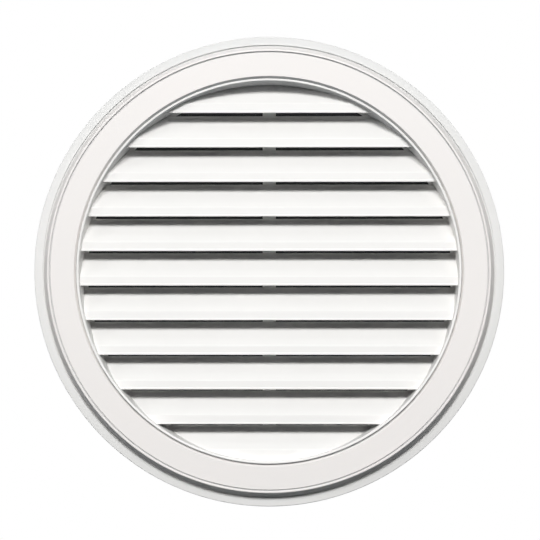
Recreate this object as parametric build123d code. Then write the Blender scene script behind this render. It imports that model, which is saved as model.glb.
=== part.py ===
from build123d import *
import math
import os

# A round gable vent: a louvred panel moulded in one piece with its nailing flange,
# a press-on trim ring that covers the flange, and an insect screen staked on behind.
# Millimetres. The vent stands upright: X to the right, Z up and Y into the wall.
# The origin is the centre of the flange's back face, which lies on the wall.

# Flange and overall size
FLANGE_DIAMETER = 558.8
FLANGE_THICKNESS = 3.0
PROJECTION = 17.5
RIM_WIDTH = 11.1
NAIL_HOLE_COUNT = 8
NAIL_HOLE_DIAMETER = 5.0
NAIL_SETBACK = 29.4

# Throat of the panel, which lies inside the ring and narrows towards the back
THROAT_TAPER = 4.5
THROAT_WALL = 3.0
THROAT_EDGE_BEVEL = 0.9

# Louvre blades: an upright lip, a slope behind it and a low dam along the back
BLADE_PITCH = 41.1
BLADE_THICKNESS = 2.2
BLADE_ANGLE = 45.0
BLADE_DEPTH = 27.0
BLADE_CENTRE = 2.1
LIP_SETBACK = 10.0
LIP_HEIGHT = 11.0
LIP_ROUND = 1.6
DRIP_NIB_HEIGHT = 2.6
DRIP_NIB_RELIEF = 0.5
DAM_HEIGHT = 1.5

# Post behind the blades, with a web under each of them
MULLION_WIDTH = 15.7
MULLION_THICKNESS = 3.0
WEB_THICKNESS = 2.4
WEB_LENGTH = 14.0

# Seat of the screen at the back of the throat
LEDGE_WIDTH = 6.5
LEDGE_THICKNESS = 2.5
SCREEN_RECESS = 2.4
STAKE_COUNT = 8
MULLION_STAKE_COUNT = 3
MULLION_STAKE_SPACING = 132.0
STAKE_WIDTH = 2.6
STAKE_HEAD_WIDTH = 4.6
STAKE_HEAD_THICKNESS = 0.9

# Gussets between the throat and the flange
GUSSET_COUNT = 16
GUSSET_THICKNESS = 2.0
GUSSET_LENGTH = 8.0

# Trim ring, whose outer wall flares from the bead at the front to its foot on the flange
RING_WIDTH = 34.5
RING_FLARE = 4.8
RING_WALL = 2.5
BEAD_HEIGHT = 0.6
BEAD_BEVEL = 1.1
QUIRK_SETBACK = 3.8
QUIRK_WIDTH = 1.5
QUIRK_DEPTH = 1.3
INNER_EDGE_BEVEL = 2.0
RING_RIB_COUNT = 16
RING_RIB_DEPTH = 5.0
RING_RIB_THICKNESS = 1.8

# Snap catches between the ring and the throat
CATCH_COUNT = 8
RACK_WIDTH = 18.0
RACK_THICKNESS = 1.6
RACK_START = 3.4
TOOTH_COUNT = 2
TOOTH_PITCH = 2.8
TOOTH_HEIGHT = 1.6
TOOTH_LAND = 0.6
FINGER_WIDTH = 14.0
FINGER_THICKNESS = 1.6
HOOK_LENGTH = 2.4
HOOK_LAND = 0.7

# Insect screen
SCREEN_THICKNESS = 0.5
WIRE_RELIEF = 0.3
WIRE_WIDTH = 1.4
WIRE_SPACING = 22.0
MESH_GAP = 6.0

# Clearances between the pieces, and how far a rib runs into the wall it grows from
FOOT_CLEARANCE = 0.3
SKIRT_CLEARANCE = 0.5
SKIRT_END_CLEARANCE = 1.0
HOOK_CLEARANCE = 0.3
SCREEN_CLEARANCE = 0.3
ROOT_DEPTH = 1.0

# Planes along Y, from the front to the back
front = -PROJECTION
face_front = front + BEAD_HEIGHT
face_back = face_front + RING_WALL
flange_front = -FLANGE_THICKNESS
foot = flange_front - FOOT_CLEARANCE
lip_front = front + LIP_SETBACK
dam_front = lip_front + BLADE_DEPTH
mullion_front = dam_front + BLADE_THICKNESS / 2
ledge_back = mullion_front + MULLION_THICKNESS
ledge_front = ledge_back - LEDGE_THICKNESS
throat_back = ledge_back + SCREEN_RECESS
sheet_front = ledge_back + WIRE_RELIEF
sheet_back = sheet_front + SCREEN_THICKNESS
screen_back = sheet_back + WIRE_RELIEF

# Radii, from the edge of the flange inwards
flange_radius = FLANGE_DIAMETER / 2
nail_circle_radius = flange_radius - NAIL_SETBACK
ring_edge_radius = flange_radius - RIM_WIDTH - RING_FLARE
quirk_radius = ring_edge_radius - QUIRK_SETBACK
skirt_radius = ring_edge_radius - RING_WIDTH
mouth_radius = skirt_radius - SKIRT_CLEARANCE - THROAT_WALL


def throat_radius(depth):
    """Inside radius of the throat at a place along Y."""
    return mouth_radius - (depth - front) * math.tan(math.radians(THROAT_TAPER))


def ring_radius(depth):
    """Outside radius of the trim ring at a place along Y."""
    return ring_edge_radius + RING_FLARE * (depth - front) / (foot - front)


# Radii of the screen's seat, from the throat
ledge_radius = throat_radius(ledge_front) - LEDGE_WIDTH
tail_radius = throat_radius(0) + THROAT_WALL
screen_radius = throat_radius(throat_back) - SCREEN_CLEARANCE
stake_circle_radius = (ledge_radius + screen_radius) / 2

# Snap catches, with the ledge nearest the wall first
tooth_ledges = [flange_front - RACK_START - number * TOOTH_PITCH for number in range(TOOTH_COUNT)]
rack_front = tooth_ledges[-1] - TOOTH_PITCH
rack_radius = throat_radius(rack_front) + THROAT_WALL + RACK_THICKNESS
crest_radius = rack_radius + TOOTH_HEIGHT
skirt_end = rack_front - SKIRT_END_CLEARANCE
finger_radius = crest_radius + HOOK_CLEARANCE
hook_radius = rack_radius + HOOK_CLEARANCE
hook_front = tooth_ledges[0] + HOOK_CLEARANCE
hook_back = hook_front + HOOK_LENGTH

# Louvre rows, counted down from the top one
blade_count = math.ceil(2 * mouth_radius / BLADE_PITCH)
top_row = BLADE_CENTRE + (blade_count - 2) / 2 * BLADE_PITCH
row_heights = [top_row - number * BLADE_PITCH for number in range(blade_count)]

# Screen wires, with a gap of the mesh in every second cell between them
wire_reach = int(ledge_radius / WIRE_SPACING)
wire_places = [(number + 0.5) * WIRE_SPACING for number in range(-wire_reach, wire_reach)]
gap_reach = wire_reach // 2
gap_places = [2 * number * WIRE_SPACING for number in range(-gap_reach, gap_reach + 1)]


def outline(points):
    """Closed face from (x, y) points."""
    return Face(Wire.make_polygon(points, close=True))


def turned(face):
    """Solid turned about the vent's axis from a face of radius and depth."""
    return revolve(face, Axis.Y)


def around(piece, count, start=0.0):
    """Copies of a piece spread evenly about the vent's axis."""
    return [Rot(0, start + number * 360 / count, 0) * piece for number in range(count)]


def radial_plate(points, thickness):
    """Plate in a plane through the vent's axis, from (radius, depth) points."""
    return extrude(outline(points), amount=thickness / 2, both=True)


def rod(x, z, radius, start, end):
    """Round rod along Y from one depth to another."""
    return Pos(x, (start + end) / 2, z) * Rot(90, 0, 0) * Cylinder(radius, end - start)


def bar(x, z, width, start, end):
    """Square bar along Y from one depth to another."""
    return Pos(x, (start + end) / 2, z) * Box(width, end - start, width)


def shell():
    """Flange, tapered throat with its bevelled front edge, and the ledge for the screen."""
    edge_back = front + THROAT_EDGE_BEVEL
    return turned(outline([
        (throat_radius(edge_back), edge_back),
        (mouth_radius + THROAT_EDGE_BEVEL, front),
        (mouth_radius + THROAT_WALL - THROAT_EDGE_BEVEL, front),
        (throat_radius(edge_back) + THROAT_WALL, edge_back),
        (throat_radius(flange_front) + THROAT_WALL, flange_front),
        (flange_radius, flange_front),
        (flange_radius, 0),
        (tail_radius, 0),
        (tail_radius, throat_back),
        (throat_radius(throat_back), throat_back),
        (throat_radius(ledge_back), ledge_back),
        (ledge_radius, ledge_back),
        (ledge_radius, ledge_front),
        (throat_radius(ledge_front), ledge_front),
    ]))


def throat_filling():
    """Inside of the throat, grown into its wall so that what is cut to it joins the wall."""
    return turned(outline([
        (0, lip_front - ROOT_DEPTH),
        (throat_radius(lip_front - ROOT_DEPTH) + ROOT_DEPTH, lip_front - ROOT_DEPTH),
        (throat_radius(ledge_back) + ROOT_DEPTH, ledge_back),
        (0, ledge_back),
    ]))


def blade(height, drop=0.0):
    """Louvre blade, the lower edge of its lip and drip nib at a height, or lower by a drop."""
    gain = math.tan(math.radians(BLADE_ANGLE))
    bend = BLADE_THICKNESS * math.tan(math.radians(BLADE_ANGLE) / 2)
    slope_top = LIP_HEIGHT + BLADE_DEPTH * gain
    lip_back = lip_front + BLADE_THICKNESS
    dam_back = dam_front + BLADE_THICKNESS
    nib_top = DRIP_NIB_HEIGHT - drop
    section = outline([
        (lip_front - DRIP_NIB_RELIEF, -drop),
        (lip_front - DRIP_NIB_RELIEF, nib_top - DRIP_NIB_RELIEF),
        (lip_front, nib_top),
        (lip_front, LIP_HEIGHT),
        (dam_front, slope_top),
        (dam_front, slope_top + DAM_HEIGHT),
        (dam_back, slope_top + DAM_HEIGHT),
        (dam_back, slope_top - bend),
        (lip_back, LIP_HEIGHT + (BLADE_THICKNESS - bend) * gain - bend),
        (lip_back, -drop),
    ])
    lip_top = section.vertices().sort_by_distance((lip_front, LIP_HEIGHT, 0))[0]
    across = Plane.YZ * Pos(0, height) * section.fillet_2d(LIP_ROUND, [lip_top])
    return extrude(across, amount=mouth_radius, both=True)


def web(height):
    """Web between the underside of a blade and the mullion."""
    corner = height + LIP_HEIGHT + (BLADE_DEPTH - BLADE_THICKNESS) * math.tan(math.radians(BLADE_ANGLE))
    face = outline([
        (mullion_front + ROOT_DEPTH, corner),
        (mullion_front + ROOT_DEPTH, corner - WEB_LENGTH),
        (mullion_front, corner - WEB_LENGTH),
        (mullion_front - WEB_LENGTH, corner - WEB_LENGTH),
    ])
    return extrude(Plane.YZ * face, amount=WEB_THICKNESS / 2, both=True)


def louvres():
    """Blades, mullion and webs, cut to the throat; the last lip runs down into the wall."""
    sill_drop = DRIP_NIB_HEIGHT + LIP_HEIGHT
    pieces = [blade(height) for height in row_heights[:-1]]
    pieces.append(blade(row_heights[-1], sill_drop))
    pieces += [web(height) for height in row_heights[1:]]
    post = Box(MULLION_WIDTH, MULLION_THICKNESS, 2 * mouth_radius)
    pieces.append(Pos(0, mullion_front + MULLION_THICKNESS / 2, 0) * post)
    return throat_filling() & Part() + pieces


def gusset():
    """Triangular rib in the corner between the throat and the flange."""
    wall = throat_radius(flange_front) + THROAT_WALL
    return radial_plate([
        (wall - ROOT_DEPTH, flange_front + ROOT_DEPTH),
        (wall + GUSSET_LENGTH, flange_front + ROOT_DEPTH),
        (wall + GUSSET_LENGTH, flange_front),
        (wall, flange_front - GUSSET_LENGTH),
        (wall - ROOT_DEPTH, flange_front - GUSSET_LENGTH),
    ], GUSSET_THICKNESS)


def rack():
    """Ratchet rack on the outside of the throat, its ramps facing the front."""
    inside = throat_radius(flange_front) + THROAT_WALL - ROOT_DEPTH
    points = [(inside, rack_front), (rack_radius, rack_front)]
    for ledge in reversed(tooth_ledges):
        points += [(crest_radius, ledge - TOOTH_LAND), (crest_radius, ledge), (rack_radius, ledge)]
    points += [(rack_radius, flange_front + ROOT_DEPTH), (inside, flange_front + ROOT_DEPTH)]
    return radial_plate(points, RACK_WIDTH)


def stake(x, z):
    """Square stake through the screen, its end melted down into a flat head."""
    head_front = screen_back + SCREEN_CLEARANCE
    shank = bar(x, z, STAKE_WIDTH, ledge_back - ROOT_DEPTH, head_front)
    return shank + bar(x, z, STAKE_HEAD_WIDTH, head_front, head_front + STAKE_HEAD_THICKNESS)


def stake_places():
    """Places of the stakes as (x, z): round the ledge, and down the mullion."""
    places = []
    for number in range(STAKE_COUNT):
        angle = math.radians((number + 0.5) * 360 / STAKE_COUNT)
        places.append((stake_circle_radius * math.cos(angle), stake_circle_radius * math.sin(angle)))
    for number in range(MULLION_STAKE_COUNT):
        places.append((0, (number - (MULLION_STAKE_COUNT - 1) / 2) * MULLION_STAKE_SPACING))
    return places


def louver_panel():
    """Panel as moulded: shell, louvres, gussets, ratchet racks, stakes and nail holes."""
    nail_hole = rod(nail_circle_radius, 0, NAIL_HOLE_DIAMETER / 2, flange_front, 0)
    panel = shell() + louvres()
    panel += around(gusset(), GUSSET_COUNT, 180 / GUSSET_COUNT)
    panel += around(rack(), CATCH_COUNT, 180 / CATCH_COUNT)
    panel += [stake(x, z) for x, z in stake_places()]
    return panel - around(nail_hole, NAIL_HOLE_COUNT)


def ring_section():
    """Open-backed section of the ring: skirt, flat face, quirk, bead and outer wall."""
    bead_edge = front + BEAD_BEVEL
    return outline([
        (ring_radius(foot), foot),
        (ring_radius(bead_edge), bead_edge),
        (ring_edge_radius - BEAD_BEVEL, front),
        (quirk_radius + QUIRK_WIDTH / 2, front),
        (quirk_radius, face_front + QUIRK_DEPTH),
        (quirk_radius - QUIRK_WIDTH / 2, face_front),
        (skirt_radius + INNER_EDGE_BEVEL, face_front),
        (skirt_radius, face_front + INNER_EDGE_BEVEL),
        (skirt_radius, skirt_end),
        (skirt_radius + RING_WALL, skirt_end),
        (skirt_radius + RING_WALL, face_back),
        (ring_radius(face_back) - RING_WALL, face_back),
        (ring_radius(foot) - RING_WALL, foot),
    ])


def finger():
    """Snap finger with its hook, hanging from the back of the ring's face."""
    root = skirt_radius + RING_WALL / 2
    tip = finger_radius + FINGER_THICKNESS
    return radial_plate([
        (root, face_back - ROOT_DEPTH),
        (tip, face_back - ROOT_DEPTH),
        (tip, hook_back),
        (finger_radius, hook_back),
        (hook_radius, hook_front + HOOK_LAND),
        (hook_radius, hook_front),
        (finger_radius, hook_front),
        (finger_radius, skirt_end),
        (root, skirt_end),
    ], FINGER_WIDTH)


def ring_rib():
    """Stiffening rib across the hollow back of the ring."""
    rib_back = face_back + RING_RIB_DEPTH
    return radial_plate([
        (skirt_radius + RING_WALL / 2, face_back - ROOT_DEPTH),
        (ring_radius(face_back) - RING_WALL / 2, face_back - ROOT_DEPTH),
        (ring_radius(rib_back) - RING_WALL / 2, rib_back),
        (skirt_radius + RING_WALL, rib_back),
        (skirt_radius + RING_WALL / 2, skirt_end),
    ], RING_RIB_THICKNESS)


def trim_ring():
    """Ring as moulded: its section turned about the axis, with fingers and ribs behind."""
    ring = turned(ring_section())
    ring += around(finger(), CATCH_COUNT, 180 / CATCH_COUNT)
    return ring + around(ring_rib(), RING_RIB_COUNT, 180 / RING_RIB_COUNT)


def wire(place):
    """Raised upright wire, as long as the opening inside the ledge is at its place."""
    reach = abs(place) + WIRE_WIDTH / 2
    return Box(WIRE_WIDTH, WIRE_RELIEF, 2 * math.sqrt(ledge_radius ** 2 - reach ** 2) - WIRE_WIDTH)


def insect_screen():
    """Woven screen: upright wires in front, level ones behind, and gaps between them."""
    screen = rod(0, 0, screen_radius, sheet_front, sheet_back)
    for place in wire_places:
        screen += Pos(place, ledge_back + WIRE_RELIEF / 2, 0) * wire(place)
        screen += Pos(0, sheet_back + WIRE_RELIEF / 2, place) * Rot(0, 90, 0) * wire(place)
    cuts = []
    for x in gap_places:
        for z in gap_places:
            if abs(x) > MULLION_WIDTH / 2 and math.hypot(x, z) < ledge_radius - MESH_GAP:
                cuts.append(bar(x, z, MESH_GAP, ledge_back, screen_back))
    stake_gap = STAKE_WIDTH + 2 * SCREEN_CLEARANCE
    cuts += [bar(x, z, stake_gap, ledge_back, screen_back) for x, z in stake_places()]
    return screen - cuts


os.makedirs("parts", exist_ok=True)
export_step(louver_panel(), "parts/louver_panel.step")
export_step(trim_ring(), "parts/trim_ring.step")
export_step(insect_screen(), "parts/insect_screen.step")
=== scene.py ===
import math
import bpy
from mathutils import Matrix, Vector


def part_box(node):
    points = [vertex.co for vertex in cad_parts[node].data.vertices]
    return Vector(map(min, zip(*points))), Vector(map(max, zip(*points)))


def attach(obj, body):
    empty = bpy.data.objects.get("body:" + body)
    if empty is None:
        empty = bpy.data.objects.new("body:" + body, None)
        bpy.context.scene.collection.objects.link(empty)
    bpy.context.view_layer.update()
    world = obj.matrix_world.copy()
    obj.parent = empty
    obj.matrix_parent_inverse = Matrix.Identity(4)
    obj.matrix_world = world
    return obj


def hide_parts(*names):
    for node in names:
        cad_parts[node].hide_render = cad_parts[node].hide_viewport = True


# A white round gable vent, seen straight on: louvred panel, trim ring and insect screen.
# Metres and degrees. The front faces -Y, Z is up, and the origin is the centre of the flange's back.

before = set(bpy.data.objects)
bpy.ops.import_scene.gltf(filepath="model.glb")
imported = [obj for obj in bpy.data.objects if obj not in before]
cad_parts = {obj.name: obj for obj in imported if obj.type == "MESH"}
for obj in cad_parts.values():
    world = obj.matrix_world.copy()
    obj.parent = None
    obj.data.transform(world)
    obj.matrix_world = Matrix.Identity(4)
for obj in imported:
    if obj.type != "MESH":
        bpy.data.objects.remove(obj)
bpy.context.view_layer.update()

# Camera, set by the circles of the vent in the photograph
FRONT_DISTANCE = 3.10
CAMERA_RIGHT = 0.05
CAMERA_BELOW = 0.085
AIM_RIGHT = 0.0015
AIM_ABOVE = 0.0009
SENSOR_MILLIMETRES = 36.0
FLANGE_VIEW_WIDTH = 0.6426
FAR_LIMIT = 60.0

# Panel: flange, throat and ledge
FLANGE_THICKNESS = 0.003
FLANGE_EDGE_ROUND = 0.0009
SEAT_GROOVE_WIDTH = 0.0014
SEAT_GROOVE_DEPTH = 0.0021
THROAT_TAPER = 4.5
THROAT_WALL = 0.0029
THROAT_EDGE_ROUND = 0.0014
LEDGE_WIDTH = 0.0045
LEDGE_THICKNESS = 0.0025
NAIL_HOLE_COUNT = 8
NAIL_HOLE_DIAMETER = 0.005
NAIL_SETBACK = 0.0294
GUSSET_COUNT = 16
GUSSET_THICKNESS = 0.002
GUSSET_LENGTH = 0.008

# Louvre blades and the mullion behind them
BLADE_PITCH = 0.0411
BLADE_COUNT = 11
BLADE_CENTRE = 0.0032
BLADE_THICKNESS = 0.0022
BLADE_ANGLE = 45.0
BLADE_DEPTH = 0.027
LIP_SETBACK = 0.010
LIP_HEIGHT = 0.011
LIP_ROUND = 0.0016
DRIP_NIB_HEIGHT = 0.0026
DRIP_NIB_RELIEF = 0.0005
DRIP_NIB_ROUND = 0.0004
DAM_HEIGHT = 0.0015
MULLION_WIDTH = 0.0157
MULLION_THICKNESS = 0.003
WEB_THICKNESS = 0.0024
WEB_LENGTH = 0.014

# Trim ring
RIM_WIDTH = 0.0111
RING_WIDTH = 0.0341
RING_FLARE = 0.0053
RING_WALL = 0.0025
RING_FOOT_ROUND = 0.0010
BEAD_HEIGHT = 0.0006
BEAD_OUTER_ROUND = 0.0017
BEAD_INNER_ROUND = 0.0010
QUIRK_SETBACK = 0.0033
QUIRK_WIDTH = 0.0016
QUIRK_DEPTH = 0.0017
QUIRK_FLOOR = 0.0014
QUIRK_ROUND = 0.0002
INNER_EDGE_WIDTH = 0.0023
INNER_EDGE_DROP = 0.0034
INNER_EDGE_ROUND = 0.0010
SKIRT_CLEARANCE = 0.0006
SKIRT_END_CLEARANCE = 0.001
RING_RIB_COUNT = 16
RING_RIB_DEPTH = 0.005
RING_RIB_THICKNESS = 0.0018

# Snap catches
CATCH_COUNT = 8
RACK_WIDTH = 0.018
RACK_THICKNESS = 0.0016
RACK_START = 0.0034
TOOTH_COUNT = 2
TOOTH_PITCH = 0.0028
TOOTH_HEIGHT = 0.0016
TOOTH_LAND = 0.0006
TOOTH_ROUND = 0.0002
FINGER_WIDTH = 0.014
FINGER_THICKNESS = 0.0016
HOOK_CLEARANCE = 0.0003
HOOK_LENGTH = 0.0024
HOOK_LAND = 0.0007

# Screen stakes, and the woven wire
STAKE_COUNT = 8
MULLION_STAKE_SPACING = 0.132
STAKE_WIDTH = 0.0026
STAKE_HEAD_WIDTH = 0.0046
STAKE_HEAD_THICKNESS = 0.0009
STAKE_CORNER_SHARE = 0.4
STAKE_CLEARANCE = 0.0003
WIRE_PITCH = 0.0016
WIRE_WIDTH = 0.00152
WIRE_THICKNESS = 0.0005

# Small rounds of a moulding, and how far a rib runs into the wall it grows from
CORNER_ROUND = 0.0004
ROOT_DEPTH = 0.001

# Steps round the axis and round a corner, and the angle from which an edge stays sharp
TURN_STEPS = 360
ROUND_STEPS = 5
SHARP_ANGLE = 40.0

# Studio
FLOOR_DROP = 1.1
FLOOR_SIZE = 4.4
LAMP_DISTANCE = 6.0
LAMP_COLOUR = (1.0, 1.0, 1.0)
LAMPS = (
    # name, turn to the right, rise, width, height, power in watts
    ("key", 0.0, 27.3, 2.6, 1.2, 314.0),
    ("side_left", -53.0, 17.0, 2.0, 0.9, 52.0),
    ("side_right", 53.0, 17.0, 2.0, 0.9, 22.0),
    ("high_left", -62.0, 52.0, 2.0, 1.5, 4.0),
    ("high_right", 62.0, 52.0, 2.0, 1.5, 22.0),
)

# Surroundings: the glow's strength from the side and below, and from straight above
GLOW_ALL = 0.045
GLOW_ABOVE = 0.12
GLOW_COLOUR = (0.82, 0.93, 1.0, 1.0)
WHITE = (1.0, 1.0, 1.0, 1.0)

# Floor: its colour to the camera, the share of glow mixed into that, and its colour to the light
FLOOR_PALE = (0.9, 0.9, 0.9, 1.0)
FLOOR_GLOW_SHARE = 0.6
FLOOR_DIM = (0.06, 0.06, 0.06, 1.0)

# Colours of the plastic, of the painted shade on it, and of the wire
PANEL_WHITE = (0.925, 0.912, 0.890, 1.0)
PANEL_SHADED = (0.910, 0.898, 0.876, 1.0)
RING_WHITE = (0.888, 0.853, 0.830, 1.0)
RING_SHADED = (0.876, 0.846, 0.825, 1.0)
# Painted shade for the flange beside the ring, darker towards the top
PAINTED_RIM_SHADE = (0.70, 0.70, 0.69, 1.0)
# Painted shade for faces turned down and the bottom of the ring's quirk
PAINTED_SHADE = (0.40, 0.41, 0.42, 1.0)
BLACK_WIRE = (0.010, 0.010, 0.011, 1.0)
GREYED_WIRE = (0.022, 0.022, 0.023, 1.0)

# Patterns of the finishes: lumps per metre, detail, and the detail's roughness
MOTTLE = (7.0, 3.0, 0.6)
FLOW_MARKS = (38.0, 4.0, 0.55)
RIPPLE = (160.0, 2.0, 0.5)
GRAIN = (1400.0, 2.0, 0.5)
WIRE_DUST = (14.0, 4.0, 0.6)
WIRE_GRAIN = (900.0, 2.0, 0.5)
PANEL_PATTERN_SHIFT = (0.0, 0.0, 0.0)
RING_PATTERN_SHIFT = (0.4, 0.2, 0.7)

# How the plastic shows its patterns
FLOW_IN_TONE = 0.3
TONE_START = 0.35
TONE_END = 0.65
RIPPLE_IN_RELIEF = 0.65
PLASTIC_ROUGHNESS = 0.40
FLOW_ROUGHENS = 0.10
GRAIN_ROUGHENS = 0.08
PLASTIC_REFRACTION = 1.49
PLASTIC_BUMP_STRENGTH = 0.35
PLASTIC_BUMP_HEIGHT = 0.00012

# How the wire's coating shows its patterns
WIRE_ROUGHNESS = 0.45
WIRE_GRAIN_ROUGHENS = 0.2
WIRE_BUMP_STRENGTH = 0.3
WIRE_BUMP_HEIGHT = 0.0001

# Painted shade on the flange beside the ring: the width over which it thickens, and its share below and in
# all
RIM_SHADE_WIDTH = 0.003
RIM_SHADE_BELOW = 0.5
RIM_SHADE_COVER = 0.85

# Painted shade on faces turned down and in the ring's quirk: the normal's Z and the depth in the quirk
# where it starts and is full, and its shares
SHADE_START = -0.2
SHADE_FULL = -0.8
QUIRK_SHADE_START = 0.0002
QUIRK_SHADE_FULL = 0.001
QUIRK_SHADE_SHARE = 0.5
SHADE_COVER = 0.8
SHADE_MOTTLING = 0.3

# Planes along Y and radii, from the frame and the sizes above
panel_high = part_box("louver_panel")[1]
ring_low, ring_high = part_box("trim_ring")
screen_low, screen_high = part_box("insect_screen")
front = ring_low.y
foot = ring_high.y
face_front = front + BEAD_HEIGHT
face_back = face_front + RING_WALL
flange_front = -FLANGE_THICKNESS
lip_front = front + LIP_SETBACK
dam_front = lip_front + BLADE_DEPTH
mullion_front = dam_front + BLADE_THICKNESS / 2
ledge_back = mullion_front + MULLION_THICKNESS
ledge_front = ledge_back - LEDGE_THICKNESS
throat_back = panel_high.y
flange_radius = panel_high.x
ring_edge_radius = flange_radius - RIM_WIDTH - RING_FLARE
groove_radius = flange_radius - RIM_WIDTH + SEAT_GROOVE_WIDTH
quirk_radius = ring_edge_radius - QUIRK_SETBACK
skirt_radius = ring_edge_radius - RING_WIDTH
mouth_radius = skirt_radius - SKIRT_CLEARANCE - THROAT_WALL


def throat_radius(depth):
    """Inside radius of the throat at a place along Y."""
    return mouth_radius - (depth - front) * math.tan(math.radians(THROAT_TAPER))


def ring_radius(depth):
    """Outside radius of the trim ring at a place along Y."""
    return ring_edge_radius + RING_FLARE * (depth - front) / (foot - front)


tail_radius = throat_radius(0.0) + THROAT_WALL
ledge_radius = throat_radius(ledge_front) - LEDGE_WIDTH
tooth_ledges = [flange_front - RACK_START - number * TOOTH_PITCH for number in range(TOOTH_COUNT)]
rack_front = tooth_ledges[-1] - TOOTH_PITCH
rack_radius = throat_radius(rack_front) + THROAT_WALL + RACK_THICKNESS
crest_radius = rack_radius + TOOTH_HEIGHT
skirt_end = rack_front - SKIRT_END_CLEARANCE
finger_radius = crest_radius + HOOK_CLEARANCE
hook_radius = rack_radius + HOOK_CLEARANCE
hook_front = tooth_ledges[0] + HOOK_CLEARANCE
hook_back = hook_front + HOOK_LENGTH
screen_radius = screen_high.x
screen_back = screen_high.y
top_row = BLADE_CENTRE + (BLADE_COUNT - 2) / 2 * BLADE_PITCH


class Signal:
    """A value in a tree of nodes; arithmetic on signals adds Math nodes."""

    def __init__(self, nodes, socket):
        self.nodes = nodes
        self.socket = socket

    def __add__(self, other):
        return self.nodes.math("ADD", self, other)

    def __mul__(self, other):
        return self.nodes.math("MULTIPLY", self, other)

    def __truediv__(self, other):
        return self.nodes.math("DIVIDE", self, other)

    def __sub__(self, other):
        return self.nodes.math("SUBTRACT", self, other)

    def __rsub__(self, other):
        return self.nodes.math("SUBTRACT", other, self)

    def __rtruediv__(self, other):
        return self.nodes.math("DIVIDE", other, self)

    __radd__ = __add__
    __rmul__ = __mul__


class Nodes:
    """Adds nodes to a tree."""

    def __init__(self, tree):
        self.tree = tree

    def node(self, kind, settings=None, sockets=None, output=0):
        """Adds any node: its settings first, then its sockets' values or links."""
        node = self.tree.nodes.new(kind)
        for name, value in (settings or {}).items():
            setattr(node, name, value)
        for name, value in (sockets or {}).items():
            if isinstance(value, Signal):
                self.tree.links.new(value.socket, node.inputs[name])
            else:
                node.inputs[name].default_value = value
        return Signal(self, node.outputs[output]) if len(node.outputs) else node

    def math(self, operation, *values):
        """Math node on one or two values."""
        return self.node("ShaderNodeMath", {"operation": operation}, dict(enumerate(values)))

    def smooth_step(self, value, start, end, low=0.0, high=1.0):
        """Smooth change from low to high while a value goes from its start to its end."""
        return self.node("ShaderNodeMapRange", {"interpolation_type": "SMOOTHSTEP"}, {
            "Value": value, "From Min": start, "From Max": end, "To Min": low, "To Max": high})

    def part(self, vector, axis):
        """One axis of a vector."""
        return self.node("ShaderNodeSeparateXYZ", sockets={0: vector}, output=axis)

    def blend(self, share, first, second):
        """Colour between two colours."""
        return self.node("ShaderNodeMix", {"data_type": "RGBA"}, {0: share, 6: first, 7: second}, 2)

    def noise(self, place, scale, detail, roughness):
        """Cloudy pattern between 0 and 1, its scale in lumps per metre."""
        return self.node("ShaderNodeTexNoise", {"noise_dimensions": "3D"},
                         {"Vector": place, "Scale": scale, "Detail": detail, "Roughness": roughness})

    def bump(self, height, strength, distance):
        """Fine relief for a shader's Normal."""
        return self.node("ShaderNodeBump",
                         sockets={"Strength": strength, "Distance": distance, "Height": height})

    def vector(self, x, y, z):
        """Three numbers as one vector."""
        return self.node("ShaderNodeCombineXYZ", sockets={0: x, 1: y, 2: z})


class Finish(Nodes):
    """The nodes of one material or world, emptied first."""

    def __init__(self, tree):
        super().__init__(tree)
        tree.nodes.clear()

    def seen(self):
        """1 where the camera looks, also through shine and glass, and 0 for the light's own paths."""
        path = self.node("ShaderNodeLightPath").socket.node
        names = ("Is Camera Ray", "Is Glossy Ray", "Is Transmission Ray")
        camera_ray, glossy_ray, clear_ray = [Signal(self, path.outputs[name]) for name in names]
        return self.node("ShaderNodeMath", {"operation": "ADD", "use_clamp": True},
                         {0: camera_ray + glossy_ray, 1: clear_ray})


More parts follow.
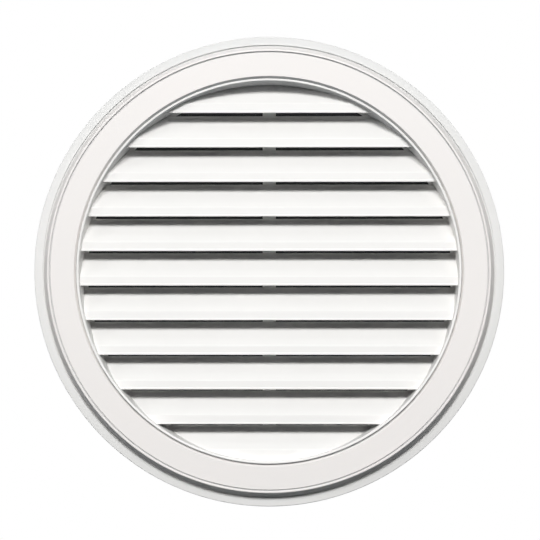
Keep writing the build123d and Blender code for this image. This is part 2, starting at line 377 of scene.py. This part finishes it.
class Build(Nodes):
    """A Geometry Nodes tree that takes an outline and named numbers."""

    def __init__(self, name, *labels):
        super().__init__(bpy.data.node_groups.new(name, "GeometryNodeTree"))
        face = self.tree.interface
        face.new_socket("Outline", in_out="INPUT", socket_type="NodeSocketGeometry")
        face.new_socket("Piece", in_out="OUTPUT", socket_type="NodeSocketGeometry")
        self.keys = {label: face.new_socket(label, in_out="INPUT", socket_type="NodeSocketFloat").identifier
                     for label in labels}
        self.entry = self.tree.nodes.new("NodeGroupInput")

    def given(self, label):
        """A named number that the tree takes."""
        return Signal(self, self.entry.outputs[label])

    def rounded_outline(self):
        """The outline as a closed curve, each corner rounded by its own radius."""
        loop = self.node("GeometryNodeMeshToCurve", sockets={0: self.given("Outline")})
        radius = self.node("GeometryNodeInputNamedAttribute", {"data_type": "FLOAT"}, {"Name": "round"})
        return self.node("GeometryNodeFilletCurve", {"mode": "POLY"},
                         {"Curve": loop, "Count": ROUND_STEPS, "Radius": radius, "Limit Radius": True})

    def swept(self, path, outline):
        """Solid left by an outline that follows a path."""
        return self.node("GeometryNodeCurveToMesh",
                         sockets={"Curve": path, "Profile Curve": outline, "Fill Caps": True})

    def moved(self, piece, place=(0.0, 0.0, 0.0), turn=(0.0, 0.0, 0.0)):
        """The piece turned, then moved."""
        return self.node("GeometryNodeTransform",
                         sockets={"Geometry": piece, "Translation": place, "Rotation": turn})

    def plate(self, thickness):
        """The outline as a plate, its thickness spread evenly along Z."""
        half = thickness * 0.5
        path = self.node("GeometryNodeCurvePrimitiveLine",
                         sockets={0: self.vector(0.0, 0.0, half * -1.0), 1: self.vector(0.0, 0.0, half)})
        return self.swept(path, self.rounded_outline())

    def copies(self, points, piece, turn=(0.0, 0.0, 0.0)):
        """The piece on each of the points."""
        return self.node("GeometryNodeInstanceOnPoints",
                         sockets={"Points": points, "Instance": piece, "Rotation": turn})

    def finish(self, piece, material):
        """Ends the tree with the piece as one mesh in its material."""
        solid = self.node("GeometryNodeRealizeInstances", sockets={0: piece})
        self.node("NodeGroupOutput", sockets={
            0: self.node("GeometryNodeSetMaterial", sockets={"Geometry": solid, "Material": material})})
        return self


def turned_tree(material):
    """An outline of (radius, depth) turned about the vent's axis."""
    build = Build("turned", "Steps")
    # The path's radius adds to the outline's radii, so it is taken off them first
    reach = 1.0
    path = build.node("GeometryNodeCurvePrimitiveCircle",
                      sockets={"Resolution": build.given("Steps"), "Radius": reach})
    outline = build.moved(build.rounded_outline(), (-reach, 0.0, 0.0))
    ring = build.moved(build.swept(path, outline), turn=(math.pi / 2, 0.0, 0.0))
    return build.finish(ring, material)


def spread_tree(material):
    """Plates of a (radius, depth) outline, spread evenly about the vent's axis."""
    build = Build("spread_plates", "Count", "Thickness", "Start", "Radius", "Depth", "Tilt")
    count = build.given("Count")
    place = build.vector(build.given("Radius"), build.given("Depth"), 0.0)
    tilt = build.vector(build.given("Tilt"), 0.0, 0.0)
    plate = build.moved(build.plate(build.given("Thickness")), place, tilt)
    points = build.node("GeometryNodeMeshLine", {"mode": "OFFSET"},
                        {"Count": count, "Offset": (0.0, 0.0, 0.0)})
    number = build.node("GeometryNodeInputIndex")
    angle = number * (2 * math.pi) / count + build.given("Start")
    return build.finish(build.copies(points, plate, build.vector(0.0, angle, 0.0)), material)


def rows_tree(material):
    """Bars of a (depth, height) outline along X, in level rows counted down from the top."""
    build = Build("level_rows", "Count", "Pitch", "Top", "Length")
    points = build.node("GeometryNodeMeshLine", {"mode": "OFFSET"}, {
        "Count": build.given("Count"),
        "Start Location": build.vector(0.0, 0.0, build.given("Top")),
        "Offset": build.vector(0.0, 0.0, build.given("Pitch") * -1.0),
    })
    bar = build.moved(build.plate(build.given("Length")), turn=(math.pi / 2, 0.0, math.pi / 2))
    return build.finish(build.copies(points, bar), material)


def screen_tree(material):
    """Screen of crossed wires, upright in front and level behind, each as long as its chord."""
    build = Build("woven_screen", "Radius", "Pitch", "Wire width", "Wire thickness", "Front")
    radius = build.given("Radius")
    pitch = build.given("Pitch")
    width = build.given("Wire width")
    thickness = build.given("Wire thickness")
    per_side = build.math("FLOOR", (radius - width) / pitch)
    line = build.node("GeometryNodeMeshLine", {"mode": "OFFSET"}, {
        "Count": per_side * 2 + 1,
        "Start Location": build.vector(per_side * pitch * -1.0, 0.0, 0.0),
        "Offset": build.vector(pitch, 0.0, 0.0),
    })
    x = build.part(build.node("GeometryNodeInputPosition"), "X")
    chord = build.math("SQRT", radius * radius - x * x) * 2.0
    wires = build.node("GeometryNodeInstanceOnPoints", sockets={
        "Points": line,
        "Instance": build.node("GeometryNodeMeshCube"),
        "Scale": build.vector(width, thickness, chord),
    })
    joined = build.tree.nodes.new("GeometryNodeJoinGeometry")
    for layer, turn in enumerate((0.0, math.pi / 2)):
        place = build.vector(0.0, build.given("Front") + thickness * (layer + 0.5), 0.0)
        build.tree.links.new(build.moved(wires, place, (0.0, turn, 0.0)).socket, joined.inputs[0])
    return build.finish(Signal(build, joined.outputs[0]), material)


def outline_object(name, corners):
    """Object that holds an outline's (x, y, round) corners in counter-clockwise order."""
    twice_area = sum(a[0] * b[1] - b[0] * a[1] for a, b in zip(corners, corners[1:] + corners[:1]))
    if twice_area < 0:
        corners = corners[::-1]
    mesh = bpy.data.meshes.new(name)
    count = len(corners)
    mesh.from_pydata([(x, y, 0.0) for x, y, radius in corners],
                     [(number, (number + 1) % count) for number in range(count)], [])
    rounds = mesh.attributes.new("round", "FLOAT", "POINT")
    for corner, mark in zip(corners, rounds.data):
        mark.value = corner[2]
    piece = bpy.data.objects.new(name, mesh)
    bpy.context.scene.collection.objects.link(piece)
    return piece


def plain(piece):
    """The object with its modifiers' result as a plain mesh."""
    graph = bpy.context.evaluated_depsgraph_get()
    mesh = bpy.data.meshes.new_from_object(piece.evaluated_get(graph), depsgraph=graph)
    mesh.name = piece.name
    piece.modifiers.clear()
    piece.data = mesh
    return piece


def grown(name, build, corners, **values):
    """Plain mesh object that a tree grows from an outline and named numbers."""
    piece = outline_object(name, corners)
    modifier = piece.modifiers.new("grow", "NODES")
    modifier.node_group = build.tree
    for label, value in values.items():
        modifier[build.keys[label.replace("_", " ")]] = float(value)
    return plain(piece)


def new_finish(name):
    """A new material and the finish that holds its nodes."""
    material = bpy.data.materials.new(name)
    material.use_nodes = True
    return material, Finish(material.node_tree)


def axis_radius(finish, place):
    """Distance of a place from the vent's axis."""
    x = finish.part(place, "X")
    z = finish.part(place, "Z")
    return finish.math("SQRT", x * x + z * z)


def painted_rim_shade(finish, place, mottle):
    """Share of painted shade on the flange beside the ring, growing from the middle of the vent to its top.
    """
    beside = finish.smooth_step(axis_radius(finish, place), ring_high.x - RIM_SHADE_WIDTH, ring_high.x)
    upper = finish.smooth_step(finish.part(place, "Z"), 0.0, flange_radius, RIM_SHADE_BELOW)
    return beside * upper * (RIM_SHADE_COVER + mottle * SHADE_MOTTLING)


def painted_underside_shade(finish, place, mottle):
    """Share of painted shade on faces turned down and at the bottom of the ring's quirk."""
    facing = finish.node("ShaderNodeTexCoord", output="Normal")
    under = finish.smooth_step(finish.part(facing, "Z"), SHADE_START, SHADE_FULL)
    aside = finish.math("ABSOLUTE", axis_radius(finish, place) - quirk_radius)
    along = finish.smooth_step(aside, QUIRK_WIDTH, QUIRK_WIDTH / 2)
    deep = finish.smooth_step(finish.part(place, "Y"),
                              face_front + QUIRK_SHADE_START, face_front + QUIRK_SHADE_FULL)
    share = finish.math("MAXIMUM", under, along * deep * QUIRK_SHADE_SHARE)
    return share * (SHADE_COVER + mottle * SHADE_MOTTLING)


def moulded_plastic(name, clear, shaded, shift, with_rim_shade=False):
    """White moulded plastic: satin, with a fine grain, faint flow marks and slight mottling, with painted
    shade on faces turned down and in the quirk, and where asked on the flange beside the ring.
    """
    material, finish = new_finish(name)
    place = finish.node("ShaderNodeTexCoord", output="Object")
    shifted = finish.node("ShaderNodeMapping", sockets={"Vector": place, "Location": shift})
    mottle = finish.noise(shifted, *MOTTLE)
    flow = finish.noise(shifted, *FLOW_MARKS)
    grain = finish.noise(shifted, *GRAIN)
    ripple = finish.noise(shifted, *RIPPLE)
    tone = finish.smooth_step(mottle * (1 - FLOW_IN_TONE) + flow * FLOW_IN_TONE, TONE_START, TONE_END)
    relief = grain * (1 - RIPPLE_IN_RELIEF) + ripple * RIPPLE_IN_RELIEF
    colour = finish.blend(tone, shaded, clear)
    # Painted shade: darker on faces turned down and at the bottom of the ring's quirk
    colour = finish.blend(painted_underside_shade(finish, place, mottle), colour, PAINTED_SHADE)
    # Painted shade on the flange beside the ring, heavier towards the top
    if with_rim_shade:
        colour = finish.blend(painted_rim_shade(finish, place, mottle), colour, PAINTED_RIM_SHADE)
    shader = finish.node("ShaderNodeBsdfPrincipled", sockets={
        "Base Color": colour,
        "Roughness": PLASTIC_ROUGHNESS + flow * FLOW_ROUGHENS + grain * GRAIN_ROUGHENS,
        "IOR": PLASTIC_REFRACTION,
        "Normal": finish.bump(relief, PLASTIC_BUMP_STRENGTH, PLASTIC_BUMP_HEIGHT),
    })
    finish.node("ShaderNodeOutputMaterial", sockets={"Surface": shader})
    return material


def coated_wire():
    """Black coated wire, greyed a little by dust."""
    material, finish = new_finish("black_coated_wire")
    place = finish.node("ShaderNodeTexCoord", output="Object")
    dust = finish.noise(place, *WIRE_DUST)
    grain = finish.noise(place, *WIRE_GRAIN)
    shader = finish.node("ShaderNodeBsdfPrincipled", sockets={
        "Base Color": finish.blend(dust * grain, BLACK_WIRE, GREYED_WIRE),
        "Roughness": WIRE_ROUGHNESS + grain * WIRE_GRAIN_ROUGHENS,
        "Normal": finish.bump(grain, WIRE_BUMP_STRENGTH, WIRE_BUMP_HEIGHT),
    })
    finish.node("ShaderNodeOutputMaterial", sockets={"Surface": shader})
    return material


def cut(piece, operation, tool):
    """Joins a tool to a piece or cuts it away from the piece; the tool is used up."""
    modifier = piece.modifiers.new("cut", "BOOLEAN")
    modifier.operation = operation
    modifier.solver = "EXACT"
    modifier.object = tool
    plain(piece)
    bpy.data.objects.remove(tool)


def moulded(piece, node):
    """Shades a finished moulding, its flats kept flat, and puts it in the place of a CAD node."""
    piece.data.shade_smooth()
    piece.data.set_sharp_from_angle(angle=math.radians(SHARP_ANGLE))
    modifier = piece.modifiers.new("flats", "WEIGHTED_NORMAL")
    modifier.keep_sharp = True
    plain(piece)
    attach(piece, "root")
    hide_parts(node)


def turned(name, tree, corners):
    """Outline of (radius, depth, round) turned about the vent's axis."""
    return grown(name, tree, corners, Steps=TURN_STEPS)


def plates(name, spread, outline, count, thickness):
    """Plates of a (radius, depth, round) outline about the vent's axis, from half a step round."""
    return grown(name, spread, outline, Count=count, Thickness=thickness, Start=math.pi / count)


def shell_outline():
    """Section of the tapered throat with its rounded front edge, the grooved flange and the ledge."""
    return [
        (mouth_radius, front, THROAT_EDGE_ROUND),
        (mouth_radius + THROAT_WALL, front, CORNER_ROUND),
        (throat_radius(flange_front) + THROAT_WALL, flange_front, CORNER_ROUND),
        (groove_radius - SEAT_GROOVE_WIDTH, flange_front, 0.0),
        (groove_radius - SEAT_GROOVE_WIDTH, flange_front + SEAT_GROOVE_DEPTH, 0.0),
        (groove_radius, flange_front + SEAT_GROOVE_DEPTH, 0.0),
        (groove_radius, flange_front, TOOTH_ROUND),
        (flange_radius, flange_front, FLANGE_EDGE_ROUND),
        (flange_radius, 0.0, CORNER_ROUND),
        (tail_radius, 0.0, CORNER_ROUND),
        (tail_radius, throat_back, CORNER_ROUND),
        (throat_radius(throat_back), throat_back, CORNER_ROUND),
        (throat_radius(ledge_back), ledge_back, 0.0),
        (ledge_radius, ledge_back, CORNER_ROUND),
        (ledge_radius, ledge_front, CORNER_ROUND),
        (throat_radius(ledge_front), ledge_front, CORNER_ROUND),
    ]


def surround_outline():
    """Section of all that lies outside the throat, from a little way into its wall."""
    reach = 2 * flange_radius
    return [
        (throat_radius(front) + ROOT_DEPTH, front, 0.0),
        (reach, front, 0.0),
        (reach, throat_back + ROOT_DEPTH, 0.0),
        (throat_radius(throat_back + ROOT_DEPTH) + ROOT_DEPTH, throat_back + ROOT_DEPTH, 0.0),
    ]


def blade_outline(drop=0.0):
    """Section of a blade as (depth, height, round), its lip lengthened downwards by the drop."""
    gain = math.tan(math.radians(BLADE_ANGLE))
    bend = BLADE_THICKNESS * math.tan(math.radians(BLADE_ANGLE) / 2)
    slope_top = LIP_HEIGHT + BLADE_DEPTH * gain
    lip_back = lip_front + BLADE_THICKNESS
    dam_back = dam_front + BLADE_THICKNESS
    nib_top = DRIP_NIB_HEIGHT - drop
    return [
        (lip_front - DRIP_NIB_RELIEF, -drop, DRIP_NIB_ROUND),
        (lip_front - DRIP_NIB_RELIEF, nib_top - DRIP_NIB_RELIEF, DRIP_NIB_ROUND),
        (lip_front, nib_top, 0.0),
        (lip_front, LIP_HEIGHT, LIP_ROUND),
        (dam_front, slope_top, CORNER_ROUND),
        (dam_front, slope_top + DAM_HEIGHT, CORNER_ROUND),
        (dam_back, slope_top + DAM_HEIGHT, CORNER_ROUND),
        (dam_back, slope_top - bend, CORNER_ROUND),
        (lip_back, LIP_HEIGHT + (BLADE_THICKNESS - bend) * gain - bend, CORNER_ROUND),
        (lip_back, -drop, CORNER_ROUND),
    ]


def block_outline(left, right, low, high, corner=0.0):
    """Rectangle with one radius on its corners."""
    return [(left, low, corner), (right, low, corner), (right, high, corner), (left, high, corner)]


def square_outline(width, corner):
    """Square about the origin."""
    return block_outline(-width / 2, width / 2, -width / 2, width / 2, corner)


def web_outline():
    """Section of the web under a blade, from the lower edge of its lip."""
    corner = LIP_HEIGHT + (BLADE_DEPTH - BLADE_THICKNESS) * math.tan(math.radians(BLADE_ANGLE))
    return [
        (mullion_front + ROOT_DEPTH, corner, 0.0),
        (mullion_front + ROOT_DEPTH, corner - WEB_LENGTH, 0.0),
        (mullion_front, corner - WEB_LENGTH, 0.0),
        (mullion_front - WEB_LENGTH, corner - WEB_LENGTH, 0.0),
    ]


def gusset_outline():
    """Triangular rib in the corner between the throat and the flange, as (radius, depth, round)."""
    wall = throat_radius(flange_front) + THROAT_WALL
    return [
        (wall - ROOT_DEPTH, flange_front + ROOT_DEPTH, 0.0),
        (wall + GUSSET_LENGTH, flange_front + ROOT_DEPTH, 0.0),
        (wall + GUSSET_LENGTH, flange_front, 0.0),
        (wall, flange_front - GUSSET_LENGTH, 0.0),
        (wall - ROOT_DEPTH, flange_front - GUSSET_LENGTH, 0.0),
    ]


def rack_outline():
    """Ratchet rack on the outside of the throat, its ramps facing the front."""
    inside = throat_radius(flange_front) + THROAT_WALL - ROOT_DEPTH
    rack_back = flange_front + ROOT_DEPTH
    corners = [(inside, rack_front, 0.0), (rack_radius, rack_front, 0.0)]
    for ledge in reversed(tooth_ledges):
        corners += [
            (crest_radius, ledge - TOOTH_LAND, TOOTH_ROUND),
            (crest_radius, ledge, TOOTH_ROUND),
            (rack_radius, ledge, 0.0),
        ]
    return corners + [(rack_radius, rack_back, 0.0), (inside, rack_back, 0.0)]


def ring_outline():
    """Open-backed section of the ring: skirt, flat face, quirk, bead and flared outer wall."""
    return [
        (ring_radius(foot), foot, RING_FOOT_ROUND),
        (ring_edge_radius, front, BEAD_OUTER_ROUND),
        (quirk_radius + QUIRK_WIDTH / 2, front, BEAD_INNER_ROUND),
        (quirk_radius + QUIRK_FLOOR / 2, face_front + QUIRK_DEPTH, QUIRK_ROUND),
        (quirk_radius - QUIRK_FLOOR / 2, face_front + QUIRK_DEPTH, QUIRK_ROUND),
        (quirk_radius - QUIRK_WIDTH / 2, face_front, CORNER_ROUND),
        (skirt_radius + INNER_EDGE_WIDTH, face_front, INNER_EDGE_ROUND),
        (skirt_radius, face_front + INNER_EDGE_DROP, INNER_EDGE_ROUND),
        (skirt_radius, skirt_end, CORNER_ROUND),
        (skirt_radius + RING_WALL, skirt_end, CORNER_ROUND),
        (skirt_radius + RING_WALL, face_back, CORNER_ROUND),
        (ring_radius(face_back) - RING_WALL, face_back, CORNER_ROUND),
        (ring_radius(foot) - RING_WALL, foot, CORNER_ROUND),
    ]


def finger_outline():
    """Snap finger with its hook, hanging from the back of the ring's face."""
    root = skirt_radius + RING_WALL / 2
    tip = finger_radius + FINGER_THICKNESS
    return [
        (root, face_back - ROOT_DEPTH, 0.0),
        (tip, face_back - ROOT_DEPTH, 0.0),
        (tip, hook_back, CORNER_ROUND),
        (finger_radius, hook_back, TOOTH_ROUND),
        (hook_radius, hook_front + HOOK_LAND, TOOTH_ROUND),
        (hook_radius, hook_front, TOOTH_ROUND),
        (finger_radius, hook_front, 0.0),
        (finger_radius, skirt_end, 0.0),
        (root, skirt_end, 0.0),
    ]


def ring_rib_outline():
    """Stiffening rib across the hollow back of the ring."""
    rib_back = face_back + RING_RIB_DEPTH
    return [
        (skirt_radius + RING_WALL / 2, face_back - ROOT_DEPTH, 0.0),
        (ring_radius(face_back) - RING_WALL / 2, face_back - ROOT_DEPTH, 0.0),
        (ring_radius(rib_back) - RING_WALL / 2, rib_back, 0.0),
        (skirt_radius + RING_WALL, rib_back, CORNER_ROUND),
        (skirt_radius + RING_WALL / 2, skirt_end, 0.0),
    ]


def trim_ring(material):
    """Ring in one moulding, with its snap fingers and ribs behind."""
    spread = spread_tree(material)
    ring = turned("trim_ring_moulding", turned_tree(material), ring_outline())
    cut(ring, "UNION", plates("fingers", spread, finger_outline(), CATCH_COUNT, FINGER_WIDTH))
    cut(ring, "UNION", plates("ring_ribs", spread, ring_rib_outline(), RING_RIB_COUNT, RING_RIB_THICKNESS))
    moulded(ring, "trim_ring")


def posts(name, spread, outline, circle, start, end):
    """Posts along Y from one depth to another, as many as its circle says, at its radius and angle."""
    count, radius, angle = circle
    return grown(name, spread, outline, Count=count, Thickness=end - start, Start=angle,
                 Radius=radius, Depth=(start + end) / 2, Tilt=math.pi / 2)


def stakes(spread):
    """Stakes that hold the screen, round the ledge and down the mullion, their heads melted flat."""
    ledge_circle = (ledge_radius + screen_radius) / 2
    head_front = screen_back + STAKE_CLEARANCE
    depths = (
        ("shank", STAKE_WIDTH, ledge_back - ROOT_DEPTH, head_front + STAKE_HEAD_THICKNESS / 2),
        ("head", STAKE_HEAD_WIDTH, head_front, head_front + STAKE_HEAD_THICKNESS),
    )
    circles = (
        (STAKE_COUNT, ledge_circle, math.pi / STAKE_COUNT),
        (2, MULLION_STAKE_SPACING, math.pi / 2),
        (1, 0.0, 0.0),
    )
    return [posts(name, spread, square_outline(width, width * STAKE_CORNER_SHARE), circle, start, end)
            for circle in circles for name, width, start, end in depths]


def louver_panel(material):
    """Panel in one moulding: shell, blades, mullion and webs, gussets, racks, stakes and holes."""
    lathe = turned_tree(material)
    spread = spread_tree(material)
    rows = rows_tree(material)
    lowest_row = top_row - (BLADE_COUNT - 1) * BLADE_PITCH
    louvres = grown("louvres", rows, blade_outline(),
                    Count=BLADE_COUNT - 1, Pitch=BLADE_PITCH, Top=top_row, Length=2 * mouth_radius)
    additions = [
        grown("lowest_louvre", rows, blade_outline(DRIP_NIB_HEIGHT + LIP_HEIGHT),
              Count=1, Pitch=BLADE_PITCH, Top=lowest_row, Length=2 * mouth_radius),
        grown("mullion", rows,
              block_outline(mullion_front, ledge_back, -mouth_radius, mouth_radius),
              Count=1, Pitch=BLADE_PITCH, Top=0.0, Length=MULLION_WIDTH),
        grown("webs", rows, web_outline(),
              Count=BLADE_COUNT - 1, Pitch=BLADE_PITCH, Top=top_row - BLADE_PITCH, Length=WEB_THICKNESS),
    ]
    for addition in additions:
        cut(louvres, "UNION", addition)
    cut(louvres, "DIFFERENCE", turned("surround", lathe, surround_outline()))
    panel = turned("louver_panel_moulding", lathe, shell_outline())
    cut(panel, "UNION", louvres)
    cut(panel, "UNION", plates("gussets", spread, gusset_outline(), GUSSET_COUNT, GUSSET_THICKNESS))
    cut(panel, "UNION", plates("racks", spread, rack_outline(), CATCH_COUNT, RACK_WIDTH))
    for stake in stakes(spread):
        cut(panel, "UNION", stake)
    hole = square_outline(NAIL_HOLE_DIAMETER, NAIL_HOLE_DIAMETER / 2)
    nail_circle = (NAIL_HOLE_COUNT, flange_radius - NAIL_SETBACK, 0.0)
    cut(panel, "DIFFERENCE",
        posts("nail_holes", spread, hole, nail_circle, flange_front - ROOT_DEPTH, ROOT_DEPTH))
    moulded(panel, "louver_panel")


def insect_screen(material):
    """The insect screen, in the place of its CAD disc."""
    piece = grown("woven_insect_screen", screen_tree(material), [],
                  Radius=screen_radius, Pitch=WIRE_PITCH, Wire_width=WIRE_WIDTH,
                  Wire_thickness=WIRE_THICKNESS, Front=screen_low.y)
    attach(piece, "root")
    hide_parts("insect_screen")


def aim(piece, place, target):
    """Puts an object at a place, looking at a target."""
    piece.location = place
    piece.rotation_euler = (Vector(target) - Vector(place)).to_track_quat("-Z", "Y").to_euler()


def camera():
    """Camera at the photograph's angle: nearly straight on, from a little below."""
    data = bpy.data.cameras.new("camera")
    data.sensor_width = SENSOR_MILLIMETRES
    place = (CAMERA_RIGHT, front - FRONT_DISTANCE, -CAMERA_BELOW)
    data.lens = SENSOR_MILLIMETRES * (FRONT_DISTANCE - front) / FLANGE_VIEW_WIDTH
    data.clip_end = FAR_LIMIT
    piece = bpy.data.objects.new("camera", data)
    bpy.context.scene.collection.objects.link(piece)
    aim(piece, place, (AIM_RIGHT, front, AIM_ABOVE))
    bpy.context.scene.camera = piece


def lamps():
    """Soft lamps round the front of the vent, each facing it."""
    for name, turn, rise, width, height, power in LAMPS:
        data = bpy.data.lights.new(name, "AREA")
        data.shape = "RECTANGLE"
        data.size = width
        data.size_y = height
        data.energy = power
        data.color = LAMP_COLOUR
        piece = bpy.data.objects.new(name, data)
        tilt = Matrix.Rotation(math.radians(90.0 - rise), 4, "X")
        piece.matrix_world = (Matrix.Rotation(math.radians(turn), 4, "Z") @ tilt
                              @ Matrix.Translation((0.0, 0.0, LAMP_DISTANCE)))
        bpy.context.scene.collection.objects.link(piece)


def surroundings():
    """White behind the vent for the camera and in shine; a dim glow, stronger above, for the light."""
    world = bpy.data.worlds.new("studio")
    bpy.context.scene.world = world
    world.use_nodes = True
    finish = Finish(world.node_tree)
    seen = finish.seen()
    direction = finish.node("ShaderNodeTexCoord", output="Generated")
    glow = finish.smooth_step(finish.part(direction, "Z"), 0.0, 1.0, GLOW_ALL, GLOW_ABOVE)
    lit = finish.node("ShaderNodeBackground", sockets={"Color": GLOW_COLOUR, "Strength": glow})
    white = finish.node("ShaderNodeBackground", sockets={"Color": WHITE, "Strength": 1.0})
    both = finish.node("ShaderNodeMixShader", sockets={0: seen, 1: lit, 2: white})
    finish.node("ShaderNodeOutputWorld", sockets={"Surface": both})


def floor():
    """Pale floor well below the vent; it throws little light back up."""
    half = FLOOR_SIZE / 2
    mesh = bpy.data.meshes.new("floor")
    corners = [(x, y, -FLOOR_DROP) for x, y in ((-half, -half), (half, -half), (half, half), (-half, half))]
    mesh.from_pydata(corners, [], [(0, 1, 2, 3)])
    piece = bpy.data.objects.new("floor", mesh)
    bpy.context.scene.collection.objects.link(piece)
    material, finish = new_finish("pale_floor")
    seen = finish.seen()
    matt = finish.node("ShaderNodeBsdfDiffuse", sockets={"Color": FLOOR_PALE})
    white = finish.node("ShaderNodeEmission", sockets={"Color": WHITE, "Strength": 1.0})
    pale = finish.node("ShaderNodeMixShader", sockets={0: FLOOR_GLOW_SHARE, 1: matt, 2: white})
    dim = finish.node("ShaderNodeBsdfDiffuse", sockets={"Color": FLOOR_DIM})
    both = finish.node("ShaderNodeMixShader", sockets={0: seen, 1: dim, 2: pale})
    finish.node("ShaderNodeOutputMaterial", sockets={"Surface": both})
    mesh.materials.append(material)


# The panel's flange gets painted shade beside the ring
louver_panel(moulded_plastic("panel_white", PANEL_WHITE, PANEL_SHADED, PANEL_PATTERN_SHIFT, with_rim_shade=True))
trim_ring(moulded_plastic("ring_white", RING_WHITE, RING_SHADED, RING_PATTERN_SHIFT))
insect_screen(coated_wire())
camera()
lamps()
surroundings()
floor()
bpy.context.scene.view_settings.view_transform = "Standard"
